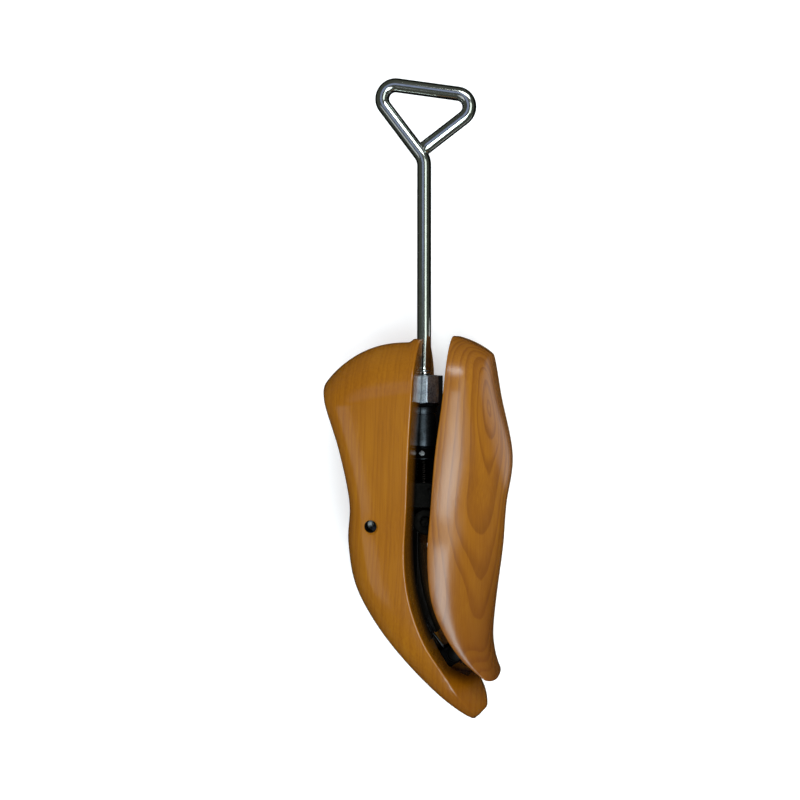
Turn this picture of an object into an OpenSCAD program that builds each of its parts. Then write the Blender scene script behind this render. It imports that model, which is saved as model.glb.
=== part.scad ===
// Shoe stretcher for high-heeled shoes, lying on its side on a table.
// Two hardwood halves, split along a curved saw cut and hinged at the toe, are forced
// apart by a screw with a bent rod grip that drives a roller carriage under a ramp.
// Working frame: X runs from the sole to the instep, Y along the drive rod towards the
// grip, and Z across the foot, with the plane of symmetry at Z = 0.

/* [Wooden halves] */
// Width across the ball of the foot
ball_w = 75; // [73:0.5:78]
// Width of the groove cut in both split faces
groove_w = 17; // [17:0.1:18]
// Distance from the rod axis to the floor of the sole groove
sole_floor = 12.6; // [12.6:0.1:14]
// Distance from the rod axis to the floor of the instep groove
instep_floor = 19.6; // [19.6:0.1:21]
// Diameter of the blind holes for spot-stretching plugs
plug_d = 6.5; // [5:0.1:8]
// Depth of the plug holes below the side of the sole half
plug_depth = 12; // [6:0.5:16]

/* [Drive rod] */
// Diameter of the bent steel rod
rod_d = 7.4; // [7:0.1:7.4]
// Centre line radius of the two corners of the grip
bend_r = 7; // [6:0.5:8]
// Centre line radius of the bend where the stem meets the grip
neck_bend_r = 10; // [8:0.5:12]
// Travel of the screw in one turn
pitch = 2; // [1.5:0.25:2.5]
// Turns from the pictured position back to fully closed
turns_in = 5.5; // [3:0.5:5.5]
// Turns from the pictured position on to fully open
turns_out = 11; // [6:1:11]
// Swing of the instep half in one turn, in degrees
swing_per_turn = 0.4545; // [0.4:0.0005:0.4545]

/* [Drive nut] */
// Width across the flats of the hexagonal head
hex_af = 14; // [13:0.25:14]
// Length of the hexagonal head
hex_len = 14.8; // [12:0.2:15]
// Turn of the hexagon about the rod
hex_turn = 9; // [0:1:30]
// Outer diameter of the sleeve below the head
sleeve_d = 13.4; // [12.6:0.1:13.4]

/* [Roller carriage] */
// Diameter of the roller under the ramp
roller_d = 14; // [13.6:0.1:14]
// Width of the roller
roller_w = 8; // [6:0.5:8]
// Diameter of the roller axle
axle_d = 5; // [4:0.5:5]

/* [Hinge] */
// Diameter of the hinge pin at the toe
pin_d = 5; // [4:0.5:5]
// Wire diameter of the return spring
wire_d = 1.1; // [0.9:0.1:1.2]

/* [Hidden] */

half_w = ball_w / 2;
rod_r = rod_d / 2;
run_gap = 0.06;
free_gap = 0.2;

// Stations of the sole half from the heel end to the tip of the toe. Each row holds the
// split line x and y, the sole line x and y, the bow of the section line, the half width
// as a share of the ball's, and the exponent that squares the section's outer corner.
sole_stations = [
    [ 0.5,   -1.0, -51.4,  -25.0, 7.0, 0.227, 7.0],
    [-0.4,  -30.0, -47.4,  -38.5, 0.5, 1.000, 7.0],
    [-2.2,  -58.0, -40.8,  -60.0, 0.0, 0.975, 6.5],
    [-3.3,  -85.0, -36.0,  -86.0, 0.0, 0.950, 5.5],
    [-4.2, -108.0, -37.4, -106.0, 0.0, 0.995, 4.0],
    [-3.4, -124.0, -34.6, -126.4, 0.0, 1.000, 3.6],
    [-0.4, -140.0, -26.8, -143.5, 0.0, 0.960, 3.4],
    [ 6.0, -158.0, -14.2, -161.8, 0.0, 0.860, 3.2],
    [16.5, -176.0,   3.8, -181.4, 0.0, 0.710, 3.2],
    [30.4, -198.4,  27.8, -201.0, 0.3, 0.110, 3.4]
];

// The same columns for the instep half, with its dorsal line in place of the sole line
instep_stations = [
    [17.2,    0.8, 36.8,   -9.0, 1.0, 0.227, 2.8],
    [15.4,  -28.0, 40.2,  -30.0, 0.0, 0.975, 2.5],
    [11.2,  -60.0, 46.8,  -62.0, 0.0, 0.975, 2.2],
    [ 8.8,  -88.0, 43.6,  -88.0, 0.0, 0.950, 2.1],
    [ 7.5, -108.0, 41.9, -110.0, 0.0, 0.995, 2.1],
    [ 8.2, -126.0, 39.3, -130.0, 0.0, 0.985, 2.1],
    [10.8, -140.0, 37.4, -146.0, 0.0, 0.935, 2.1],
    [17.2, -155.0, 36.6, -158.0, 0.0, 0.840, 2.2],
    [25.0, -166.5, 37.8, -168.5, 0.0, 0.745, 2.3],
    [34.4, -175.6, 40.4, -178.6, 0.3, 0.640, 2.4]
];
end_steps = 8;
span_steps = 4;
section_steps = 32;
face_steps = 8;

// Crown of the toe, where the sole half's split face rises into a rounded toe cap: its
// height, the fractional index where it starts and where it is full, and the share of it
// that is lost again at the tip
crown_h = 9.2;
crown_start = 7.75;
crown_full = 8.4;
crown_fall = 0.45;

// Centre line of the rod beyond the nose: the neck of the grip and its two corners
grip_neck = [0, 93.4];
grip_left = [-31.6, 135.1];
grip_right = [34.4, 124.3];
grip_end = [0.1, 99.1];
bend_over = 0.03;
bend_lap = 0.5;

// Places along the rod at rest
hex_top = -20.1;
wall_t = 1.8;
wall_top = hex_top - hex_len;
neck_d = 11;
collar_top = wall_top - wall_t;
collar_len = 3.2;
sleeve_end = -58.3;
lock_len = 5.6;
lock_d = 15.2;
grub_d = 3;
carriage_top = -76.5;
socket_depth = 12;
ball_d = 5;
nose_y = carriage_top - socket_depth + ball_d;
swivel_y = carriage_top - 3.4;
swivel_r = 2.6;
swivel_w = 2.5;
swivel_pin_d = 2.2;
swivel_pin_x = swivel_r + swivel_pin_d / 2 + 0.15;

// Channel let into the sole groove
channel_w = groove_w - 0.2;
channel_wall = 1.5;
channel_inner = channel_w - 2 * channel_wall;
channel_floor_t = 2.3;
channel_back = -sole_floor + 0.05;
channel_floor = channel_back + channel_floor_t;
channel_rim = -5;
channel_end = -138;

// Carriage
block_w = channel_inner - 0.4;
block_back = channel_floor + 0.12;
block_front = 5.8;
cheek_front = 4.6;
roller_r = roller_d / 2;
roller_x = 1.4;
roller_y = carriage_top - socket_depth - 1.6 - roller_r - 0.4;
slot_w = roller_w + 0.5;
cheek_end = roller_y - 5;

// Hinge frame, turned so that its Y axis runs along the saw cut at the toe
hinge = [17.5, -166];
hinge_turn = 30;
knuckle_r = 5;
leaf_in = 7.5;
leaf_t = 2;
leaf_low = -5.6;
leaf_high = 22;
leaf_w = groove_w - 0.2;
sole_ear = [6.3, 8.4];
instep_ear = [3.9, 6.1];
pocket_w = 17.2;
spring_r = 3.7;
spring_turns = 3;
coil_pitch = 1.6;
spring_foot = [6, 14];
leg_z = coil_pitch * (spring_turns + 0.5) / 2;
leg_slack_y = 0.2;

// Screws
screw_head_d = 6.4;
screw_head_h = 2.1;
screw_shank_d = 3.4;
channel_screw_y = [-48, -72, -104, -130];
ramp_screw_y = [-65, -74, -128, -137];
leaf_screw_y = [9.5, 18];

// Ramp plate
plate_t = 2.3;
plate_front = instep_floor - 0.05 - plate_t;
plate_ends = [-60, -142];
rail_w = roller_w - 0.4;
rail_over = 1.5;

// Box of the whole object, for the origin at the middle of its base
span_x = [-51.4, 46.8];
span_y = [-201, 136];
mid_x = (span_x[0] + span_x[1]) / 2;
mid_y = (span_y[0] + span_y[1]) / 2;

smooth = 64;

// Catmull-Rom curve through four values
function spline(a, b, c, d, u) =
    0.5 * (2 * b + (c - a) * u + (2 * a - 5 * b + 4 * c - d) * u * u
    + (3 * b - a - 3 * c + d) * u * u * u);

// Row of a station table at a fractional index, with straight run-outs at both ends
function row_at(table, t) =
    let (last = len(table) - 1)
    let (i = min(floor(t), last - 1))
    let (b = table[i], c = table[i + 1])
    let (a = i > 0 ? table[i - 1] : 2 * b - c)
    let (d = i + 2 > last ? 2 * c - b : table[i + 2])
    spline(a, b, c, d, t - i);

// Half width at a fractional index: an ellipse over the first span, and over the last
// span where the end is pointed
function width_at(table, t, pointed) =
    let (last = len(table) - 1)
    let (first_w = table[0][5], next_w = table[1][5])
    let (tip_w = table[last][5], before_w = table[last - 1][5])
    let (inner = [for (i = [1 : pointed ? last - 1 : last]) table[i]])
    half_w * (t < 1 ? first_w + (next_w - first_w) * sqrt(max(0, 1 - pow(1 - t, 2)))
    : pointed && t > last - 1
    ? tip_w + (before_w - tip_w) * sqrt(max(0, 1 - pow(t - last + 1, 2)))
    : min(1, row_at(inner, t - 1)[5]));

// Rise of the split face's middle at a fractional index
function crown_at(table, t, pointed) =
    let (u = min(1, max(0, (t - crown_start) / (crown_full - crown_start))))
    let (v = max(0, (t - crown_full) / (len(table) - 1 - crown_full)))
    pointed ? crown_h * (3 * u * u - 2 * u * u * u) * (1 - crown_fall * v * v) : 0;

// Indices of the loft's sections, closer together where an end is rounded
function loft_steps(table, pointed) =
    let (last = len(table) - 1)
    let (inner = pointed ? last - 1 : last)
    concat(
        [for (k = [0 : end_steps - 1]) 1 - cos(90 * k / end_steps)],
        [for (k = [0 : (inner - 1) * span_steps]) 1 + k / span_steps],
        pointed ? [for (k = [1 : end_steps]) last - 1 + sin(90 * k / end_steps)] : []
    );

// Points of one section, from the split edge at +Z over the outside to the one at -Z and
// back across the split face
function section(table, t, pointed) =
    let (row = row_at(table, t), w = width_at(table, t, pointed))
    let (along = [row[2] - row[0], row[3] - row[1]])
    let (side = [along[1], -along[0]] / norm(along))
    let (out = side[1] < 0 ? -side : side)
    let (crown = along / norm(along) * crown_at(table, t, pointed))
    concat(
        [for (k = [0 : section_steps])
            let (angle = 180 * k / section_steps)
            let (q = pow(max(0, sin(angle)), 2 / row[6]))
            let (z = w * sign(cos(angle)) * pow(abs(cos(angle)), 2 / row[6]))
            let (bow = 4 * row[4] * q * (1 - q))
            [row[0] + along[0] * q + out[0] * bow, row[1] + along[1] * q + out[1] * bow, z]],
        [for (k = [1 : face_steps - 1])
            let (share = 2 * k / face_steps - 1)
            let (rise = 1 - share * share)
            [row[0] - crown[0] * rise, row[1] - crown[1] * rise, w * share]]
    );

// Solid between the split face and the lofted outside. Its ends are strips between each
// point of the section at +Z and its mirror image at -Z. Where an end has no crown, its
// first strip is a fan over the points of the split line.
module loft(table, pointed, flip) {
    steps = loft_steps(table, pointed);
    rings = len(steps);
    n = section_steps + face_steps;
    points = [for (t = steps) each section(table, t, pointed)];
    sides = [for (i = [0 : rings - 2], k = [0 : n - 1], half = [0, 1])
        let (next = (k + 1) % n)
        half == 0 ? [i * n + k, i * n + next, (i + 1) * n + next]
        : [i * n + k, (i + 1) * n + next, (i + 1) * n + k]];
    caps = [for (at = [0, rings - 1])
        let (level = crown_at(table, steps[at], pointed) == 0)
        let (strips = concat(
            level ? [for (m = [section_steps - 1 : n - 1]) [1, m, (m + 1) % n]] : [],
            [for (k = [level ? 1 : -face_steps / 2 : section_steps / 2 - 1])
                let (a = (k + n) % n, b = (k + 1 + n) % n)
                let (c = (section_steps - k - 1) % n, d = (section_steps - k) % n)
                b == c ? [a, b, d] : a == d ? [a, b, c] : [a, b, c, d]]
        ))
        for (strip = strips)
        let (face = [for (m = strip) at * n + m])
        at == 0 ? [for (m = [len(face) - 1 : -1 : 0]) face[m]] : face];
    faces = concat(sides, caps);
    turned = [for (face = faces) [for (m = [len(face) - 1 : -1 : 0]) face[m]]];
    polyhedron(points, flip ? turned : faces, convexity = 6);
}

// Puts a child in the frame of the finished object, on its base
module place() {
    translate([-mid_x, -mid_y, half_w]) children();
}

// Puts a child in the turned frame of the toe hinge
module at_hinge() {
    translate([hinge[0], hinge[1], 0]) rotate([0, 0, hinge_turn]) children();
}

// Cylinder along Y from y0 to y1
module along_y(r, y0, y1) {
    translate([0, y0, 0]) rotate([-90, 0, 0]) cylinder(r = r, h = y1 - y0, $fn = smooth);
}

// Cylinder along Z centred on the mid-plane
module across(r, w) {
    cylinder(r = r, h = w, center = true, $fn = smooth);
}

// Slotted countersunk wood screw, with its head's face at the origin, pointing along +X
module wood_screw(length) {
    difference() {
        rotate([0, 90, 0]) union() {
            cylinder(d1 = screw_head_d, d2 = screw_shank_d, h = screw_head_h, $fn = smooth);
            translate([0, 0, screw_head_h])
                cylinder(d = screw_shank_d, h = length - screw_head_h - 2, $fn = smooth);
            translate([0, 0, length - 2])
                cylinder(d1 = screw_shank_d, d2 = 0.6, h = 2, $fn = smooth);
        }
        cube([1.6, 0.9, screw_head_d + 1], center = true);
    }
}

// Countersunk hole in a plate whose face is at the origin, going along +X
module screw_hole(depth) {
    rotate([0, 90, 0]) {
        cylinder(d1 = screw_head_d, d2 = screw_shank_d, h = screw_head_h, $fn = smooth);
        cylinder(d = screw_shank_d, h = depth, $fn = smooth);
    }
}

// Pilot hole in the wood for a screw whose face is at the origin, going along +X
module pilot(length) {
    rotate([0, 90, 0]) {
        cylinder(d = screw_shank_d, h = length - 2, $fn = smooth);
        translate([0, 0, length - 2])
            cylinder(d1 = screw_shank_d, d2 = 0.6, h = 2, $fn = smooth);
    }
}

// Screws of each group: place, direction along -X or +X, and length
module sole_screw_spots() {
    for (y = channel_screw_y) translate([channel_floor, y, 0]) rotate([0, 0, 180]) children();
}

module ramp_screw_spots() {
    for (y = ramp_screw_y) translate([plate_front, y, 0]) children();
}

module sole_leaf_spots() {
    at_hinge() for (y = leaf_screw_y) translate([-leaf_in, y, 0]) rotate([0, 0, 180]) children();
}

module instep_leaf_spots() {
    at_hinge() for (y = leaf_screw_y) translate([leaf_in, y, 0]) children();
}
channel_screw_len = 16;
ramp_screw_len = 15;
leaf_screw_len = 8.5;

// Outline of the sole groove, from the heel end to the floor of the hinge pocket
module sole_groove() {
    linear_extrude(groove_w, center = true) polygon([
        [30, 8], [-sole_floor, 8], [-sole_floor, -139], [-5.9, -144.8], [-3.9, -148.2],
        [30, -148.2]
    ]);
    at_hinge() translate([-leaf_in - leaf_t - 0.05, leaf_low - 0.2, -pocket_w / 2])
        cube([30, leaf_high - leaf_low + 6, pocket_w]);
}

// Outline of the instep groove and its hinge pocket
module instep_groove() {
    linear_extrude(groove_w, center = true) polygon([
        [-20, -34], [10, -34], [instep_floor, -52], [instep_floor, -148], [-20, -148]
    ]);
    at_hinge() translate([leaf_in + leaf_t + 0.05 - 30, leaf_low - 0.2, -pocket_w / 2])
        cube([30, leaf_high - leaf_low + 2, pocket_w]);
    at_hinge() translate([0, spring_foot[1] + leg_slack_y, -leg_z]) rotate([0, 90, 0])
        cylinder(d = 4, h = 12.4, $fn = smooth);
}

plug_at = [-22, -96.8];
module sole_half() {
    color("peru") place() difference() {
        loft(sole_stations, true, true);
        sole_groove();
        sole_screw_spots() pilot(channel_screw_len);
        sole_leaf_spots() pilot(leaf_screw_len);
        for (up = [0, 1]) mirror([0, 0, up]) translate([plug_at[0], plug_at[1], half_w - plug_depth])
            cylinder(d = plug_d, h = plug_depth + 5, $fn = smooth);
    }
}

module instep_half() {
    color("burlywood") place() difference() {
        loft(instep_stations, false, false);
        instep_groove();
        ramp_screw_spots() pilot(ramp_screw_len);
        instep_leaf_spots() pilot(leaf_screw_len);
    }
}

// One bend of the rod, of centre line radius r, at corner b between runs from a and to c.
// It is a hair thicker than the runs, which end inside it, so that they join as one solid.
module rod_bend(a, b, c, r) {
    u = (a - b) / norm(a - b);
    v = (c - b) / norm(c - b);
    half = acos(u * v) / 2;
    centre = b + (u + v) / norm(u + v) * r / sin(half);
    start = b + u * r / tan(half) - centre;
    finish = b + v * r / tan(half) - centre;
    left = start[0] * finish[1] - start[1] * finish[0] > 0;
    first = left ? start : finish;
    translate([centre[0], centre[1], 0]) rotate([0, 0, atan2(first[1], first[0])])
        rotate_extrude(angle = 180 - 2 * half, $fn = 96)
            translate([r, 0]) circle(r = rod_r + bend_over, $fn = smooth);
}

// Straight run of the rod between the ends of two bends
module rod_run(a, b) {
    d = b - a;
    translate([a[0], a[1], 0]) rotate([0, 0, atan2(d[1], d[0])]) rotate([0, 90, 0])
        cylinder(r = rod_r, h = norm(d), $fn = smooth);
}

// Length that a bend of radius r at corner b takes off each of the runs that meet there
function bend_back(a, b, c, r) =
    let (u = (a - b) / norm(a - b), v = (c - b) / norm(c - b))
    r / tan(acos(u * v) / 2);

// Point on the run from b towards a, where the bend at b ends
function bend_foot(a, b, back) = b + (a - b) / norm(a - b) * back;

module drive_rod() {
    path = [[0, nose_y], grip_neck, grip_left, grip_right, grip_end];
    radii = [0, neck_bend_r, bend_r, bend_r, 0];
    back = [for (i = [0 : 4]) i == 0 || i == 4 ? 0
        : bend_back(path[i - 1], path[i], path[i + 1], radii[i]) - bend_lap];
    color("slategray") place() difference() {
        union() {
            for (i = [0 : 3]) rod_run(
                bend_foot(path[i + 1], path[i], back[i]),
                bend_foot(path[i], path[i + 1], back[i + 1])
            );
            for (i = [1 : 3]) rod_bend(path[i - 1], path[i], path[i + 1], radii[i]);
        }
        difference() {
            along_y(rod_r + 1, swivel_y - swivel_w / 2, swivel_y + swivel_w / 2);
            along_y(swivel_r, swivel_y - swivel_w, swivel_y + swivel_w);
        }
    }
}

// Hexagonal head and the threaded neck that passes through the channel's end wall
module drive_nut() {
    corner_r = hex_af / sqrt(3);
    bevel = 1.3;
    color("lightsteelblue") place() difference() {
        union() {
            intersection() {
                translate([0, hex_top, 0]) rotate([90, hex_turn, 0])
                    cylinder(r = corner_r, h = hex_len, $fn = 6);
                union() {
                    along_y(corner_r + 0.1, wall_top + bevel, hex_top - bevel);
                    translate([0, hex_top, 0]) rotate([90, 0, 0])
                        cylinder(r1 = hex_af / 2, r2 = corner_r + 0.1, h = bevel, $fn = smooth);
                    translate([0, wall_top, 0]) rotate([-90, 0, 0])
                        cylinder(r1 = hex_af / 2, r2 = corner_r + 0.1, h = bevel, $fn = smooth);
                }
            }
            along_y(neck_d / 2, collar_top - 6, wall_top + 4);
        }
        along_y(rod_r + run_gap, collar_top - 7, hex_top + 1);
    }
}

// Sleeve screwed on to the neck, which clamps the end wall and carries the main thread
module nut_sleeve() {
    color("dimgray") place() difference() {
        union() {
            along_y(7, collar_top - collar_len, collar_top);
            along_y(6.2, collar_top - collar_len - 0.9, collar_top - collar_len);
            along_y(sleeve_d / 2, sleeve_end + 1, collar_top - collar_len - 0.9);
            translate([0, sleeve_end, 0]) rotate([-90, 0, 0])
                cylinder(r1 = sleeve_d / 2 - 1, r2 = sleeve_d / 2, h = 1, $fn = smooth);
            along_y(5.9, sleeve_end - lock_len - 0.6, sleeve_end);
        }
        along_y(neck_d / 2, collar_top - 6, collar_top + 1);
        along_y(rod_r + run_gap, sleeve_end - 10, collar_top);
    }
}

// Collar that locks the sleeve, held by one grub screw that faces the side
module lock_collar() {
    color([0.16, 0.16, 0.17]) place() difference() {
        along_y(lock_d / 2, sleeve_end - lock_len, sleeve_end);
        along_y(5.9, sleeve_end - 10, sleeve_end + 1);
        translate([0, sleeve_end - lock_len / 2, 0]) cylinder(d = grub_d, h = 10, $fn = smooth);
    }
}

module collar_screw() {
    color("silver") place() translate([0, sleeve_end - lock_len / 2, 5.9]) difference() {
        cylinder(d = grub_d, h = 1.1, $fn = smooth);
        translate([0, 0, 1.1]) cube([5, 0.6, 0.9], center = true);
    }
}

// Channel with the end wall that holds the nut and a level floor for the carriage
module sole_channel() {
    outer = channel_w / 2;
    color([0.2, 0.2, 0.21]) place() difference() {
        union() {
            translate([channel_back, channel_end, -outer])
                cube([channel_rim - channel_back, wall_top - 0.05 - channel_end, channel_w]);
            translate([channel_back, collar_top + 0.05, -outer])
                cube([7.4 - channel_back, wall_t - 0.1, channel_w]);
        }
        translate([channel_floor, channel_end - 1, -channel_inner / 2])
            cube([20, collar_top + 0.05 - channel_end + 1, channel_inner]);
        along_y(neck_d / 2, collar_top - 2, wall_top + 2);
        sole_screw_spots() screw_hole(channel_floor_t + 1);
    }
}

module channel_screws() {
    color("dimgray") place() sole_screw_spots() wood_screw(channel_screw_len);
}

// Block with a socket for the rod's nose and two cheeks for the roller
module carriage_block() {
    color([0.25, 0.25, 0.27]) place() difference() {
        union() {
            translate([block_back, roller_y + roller_r + 0.4, -block_w / 2])
                cube([block_front - block_back, carriage_top - roller_y - roller_r - 0.4, block_w]);
            translate([block_back, cheek_end, -block_w / 2])
                cube([cheek_front - block_back, roller_r + 5.4, block_w]);
        }
        along_y(rod_r + run_gap, carriage_top - socket_depth, carriage_top + 1);
        translate([roller_x - 12, cheek_end - 1, -slot_w / 2])
            cube([24, roller_y + roller_r + 1.4 - cheek_end, slot_w]);
        translate([roller_x, roller_y, 0]) across(axle_d / 2, block_w + 2);
        for (s = [-1, 1]) translate([s * swivel_pin_x, swivel_y, 0])
            across(swivel_pin_d / 2, block_w + 2);
    }
}

module thrust_ball() {
    color("silver") place() translate([0, carriage_top - socket_depth + ball_d / 2, 0])
        sphere(d = ball_d - 0.02, $fn = smooth);
}

module swivel_pins() {
    color("gray") place() for (s = [-1, 1]) translate([s * swivel_pin_x, swivel_y, 0])
        across(swivel_pin_d / 2, block_w - 0.2);
}

module roller() {
    color("lightgray") place() translate([roller_x, roller_y, 0]) difference() {
        union() {
            across(roller_r, roller_w - 1.2);
            for (s = [-1, 1]) translate([0, 0, s * (roller_w / 2 - 0.6)])
                rotate([s > 0 ? 0 : 180, 0, 0])
                    cylinder(r1 = roller_r, r2 = roller_r - 0.6, h = 0.6, $fn = smooth);
        }
        across(axle_d / 2 + run_gap, roller_w + 2);
    }
}

module roller_axle() {
    color("gray") place() translate([roller_x, roller_y, 0]) across(axle_d / 2, block_w - 0.2);
}

// Turns a point about the hinge by an angle
function about_hinge(p, angle) =
    let (d = p - hinge)
    hinge + [d[0] * cos(angle) - d[1] * sin(angle), d[0] * sin(angle) + d[1] * cos(angle)];

// Roller centre as the instep half sees it when the carriage has moved s towards the toe
function roller_path(s) = about_hinge([roller_x, roller_y - s], s / pitch * swing_per_turn);

// Point of the ramp where the roller bears on it at that travel
function ramp_point(s) =
    let (d = roller_path(s + 0.05) - roller_path(s - 0.05))
    let (side = [-d[1], d[0]] / norm(d))
    roller_path(s) + side * (roller_r + free_gap);

// Plate in the instep groove with the raised ramp that the roller lifts
module ramp_plate() {
    s_low = -turns_in * pitch - rail_over;
    s_high = turns_out * pitch + rail_over;
    ramp_steps = 16;
    ramp = [for (k = [0 : ramp_steps]) ramp_point(s_low + (s_high - s_low) * k / ramp_steps)];
    color([0.22, 0.22, 0.23]) place() difference() {
        union() {
            translate([plate_front, plate_ends[1], -channel_w / 2])
                cube([plate_t, plate_ends[0] - plate_ends[1], channel_w]);
            linear_extrude(rail_w, center = true) polygon(concat(
                ramp,
                [[plate_front + 0.5, ramp[ramp_steps][1] - 1], [plate_front + 0.5, ramp[0][1] + 1]]
            ));
        }
        ramp_screw_spots() screw_hole(plate_t + 1);
    }
}

module ramp_screws() {
    color("dimgray") place() ramp_screw_spots() wood_screw(ramp_screw_len);
}

// Hinge leaf: a plate on the side s of the pin, with two ears between the given widths
module hinge_leaf(s, ear) {
    difference() {
        union() {
            translate([s > 0 ? leaf_in : -leaf_in - leaf_t, leaf_low, -leaf_w / 2])
                cube([leaf_t, leaf_high - leaf_low, leaf_w]);
            for (up = [0, 1]) mirror([0, 0, up]) translate([0, 0, ear[0]])
                linear_extrude(ear[1] - ear[0]) union() {
                    circle(r = knuckle_r, $fn = smooth);
                    translate([s > 0 ? 0 : -leaf_in - 0.5, -knuckle_r])
                        square([leaf_in + 0.5, 2 * knuckle_r]);
                }
        }
        across(pin_d / 2 + run_gap, 30);
        for (y = leaf_screw_y) translate([s * leaf_in, y, 0]) rotate([0, 0, s > 0 ? 0 : 180])
            screw_hole(leaf_t + 1);
        translate([s > 0 ? 0 : -20, spring_foot[1] + (s > 0 ? leg_slack_y : 0), -s * leg_z])
            rotate([0, 90, 0]) cylinder(d = s > 0 ? 3 : wire_d + 0.2, h = 20, $fn = smooth);
    }
}

module sole_hinge_leaf() {
    color([0.2, 0.2, 0.21]) place() at_hinge() hinge_leaf(-1, sole_ear);
}

module sole_leaf_screws() {
    color("dimgray") place() sole_leaf_spots() wood_screw(leaf_screw_len);
}

module instep_hinge_leaf() {
    color([0.24, 0.24, 0.25]) place() at_hinge() hinge_leaf(1, instep_ear);
}

module instep_leaf_screws() {
    color("dimgray") place() instep_leaf_spots() wood_screw(leaf_screw_len);
}

module hinge_pin() {
    color("silver") place() at_hinge() difference() {
        union() {
            translate([0, 0, -9.7]) cylinder(d = pin_d, h = 18.2, $fn = smooth);
            translate([0, 0, sole_ear[1] + 0.05]) cylinder(d = 8, h = 1.2, $fn = smooth);
        }
        translate([0, 0, -9.3]) difference() {
            cylinder(d = pin_d + 2, h = 0.7, $fn = smooth);
            cylinder(d = pin_d - 1, h = 0.7, $fn = smooth);
        }
    }
}

// Spring clip in the pin's groove, open on one side
module pin_clip() {
    color("gray") place() at_hinge() translate([0, 0, -9.25]) difference() {
        cylinder(d = 8.4, h = 0.6, $fn = smooth);
        translate([0, 0, -1]) cylinder(d = pin_d - 0.9, h = 3, $fn = smooth);
        translate([0, -1.7, -1]) cube([6, 3.4, 3]);
    }
}

// Return spring: three and a half turns round the pin, with a leg hooked into each leaf
spring_ring = 8;
coil_rings = 12;
function spring_route() =
    let (n = (spring_turns + 0.5) * coil_rings)
    concat(
        [[-spring_foot[0] - 3, spring_foot[1], leg_z],
         [-spring_foot[0], spring_foot[1], leg_z],
         [-spring_foot[0] + 0.6, spring_foot[1] - 1, leg_z]],
        [for (k = [0 : n])
            let (a = 180 + 360 * k / coil_rings)
            [spring_r * cos(a), spring_r * sin(a), leg_z * (1 - 2 * k / n)]],
        [[spring_foot[0] - 0.6, spring_foot[1] - 1, -leg_z],
         [spring_foot[0], spring_foot[1], -leg_z],
         [spring_foot[0] + 4.2, spring_foot[1], -leg_z]]
    );

// Round tube along a route, as one closed polyhedron
module tube(route, d) {
    last = len(route) - 1;
    rings = [for (i = [0 : last])
        let (t = route[min(i + 1, last)] - route[max(i - 1, 0)])
        let (u = t / norm(t))
        let (side = cross(u, [0, 0, 1]) / norm(cross(u, [0, 0, 1])))
        let (up = cross(side, u))
        [for (k = [0 : spring_ring - 1]) let (a = 360 * k / spring_ring)
            route[i] + d / 2 * (cos(a) * side + sin(a) * up)]];
    points = [for (ring = rings) each ring];
    walls = [for (i = [0 : last - 1], k = [0 : spring_ring - 1], half = [0, 1])
        let (k2 = (k + 1) % spring_ring)
        half == 0 ? [i * spring_ring + k, (i + 1) * spring_ring + k2, i * spring_ring + k2]
        : [i * spring_ring + k, (i + 1) * spring_ring + k, (i + 1) * spring_ring + k2]];
    ends = [[for (k = [0 : spring_ring - 1]) k],
        [for (k = [0 : spring_ring - 1]) last * spring_ring + spring_ring - 1 - k]];
    polyhedron(points, concat(walls, ends), convexity = 8);
}

module return_spring() {
    color("lightgray") place() at_hinge() tube(spring_route(), wire_d);
}

sole_half();
instep_half();
drive_rod();
drive_nut();
nut_sleeve();
lock_collar();
collar_screw();
sole_channel();
channel_screws();
carriage_block();
thrust_ball();
swivel_pins();
roller();
roller_axle();
ramp_plate();
ramp_screws();
sole_hinge_leaf();
sole_leaf_screws();
instep_hinge_leaf();
instep_leaf_screws();
hinge_pin();
pin_clip();
return_spring();
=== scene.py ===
"""Shoe stretcher for high-heeled shoes, lying on its side on a pale table: a wooden form in
two halves, hinged at the toe and spread by a roller that a screw pushes along a ramp.

Shapes are worked out in the maker's frame, in millimetres: X runs from the sole to the
instep, Y along the drive rod towards its grip, and Z across the foot, with the rod's axis
at X = 0 and Z = 0. place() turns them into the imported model's metres.
"""
import math
import bmesh
import bpy
import numpy as np
from mathutils import Matrix


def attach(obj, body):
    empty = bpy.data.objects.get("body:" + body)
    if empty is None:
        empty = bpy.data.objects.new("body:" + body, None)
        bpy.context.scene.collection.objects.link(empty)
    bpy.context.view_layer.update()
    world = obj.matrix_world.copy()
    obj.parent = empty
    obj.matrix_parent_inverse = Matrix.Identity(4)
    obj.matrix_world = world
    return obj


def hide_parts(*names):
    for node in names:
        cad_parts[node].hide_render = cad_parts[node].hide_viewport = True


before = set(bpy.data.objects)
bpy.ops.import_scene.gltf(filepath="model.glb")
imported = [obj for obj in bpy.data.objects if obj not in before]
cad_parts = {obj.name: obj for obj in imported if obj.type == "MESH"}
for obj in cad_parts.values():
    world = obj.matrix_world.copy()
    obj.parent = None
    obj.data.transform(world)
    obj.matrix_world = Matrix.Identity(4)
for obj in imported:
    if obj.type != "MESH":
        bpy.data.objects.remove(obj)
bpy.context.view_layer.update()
# the maker's origin in the row frame; the toe hinge's pin in the maker's frame, and its turn
SHIFT = np.array([2.3, 32.5, 37.5])
HINGE = np.array([17.5, -166.0, 0.0])
HINGE_TURN = math.radians(30)
# carriage: the swivel groove of the rod, the roller's axle, and the running fit in a groove
SWIVEL_Y = -79.9
ROLLER_X, ROLLER_Y, ROLLER_R = 1.4, -97.5, 6.95
GROOVE_HALF, PLATE_HALF = 8.5, 8.35
# thread, and how far one turn of it swings the instep half, in degrees
PITCH, SWING_PER_TURN = 2.0, 0.4545


# Meshes: shared shapes, cutting and finishing.

def place(points):
    """Maker's millimetres to the row frame's metres."""
    return (np.asarray(points, float).reshape(-1, 3) + SHIFT) / 1000


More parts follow.
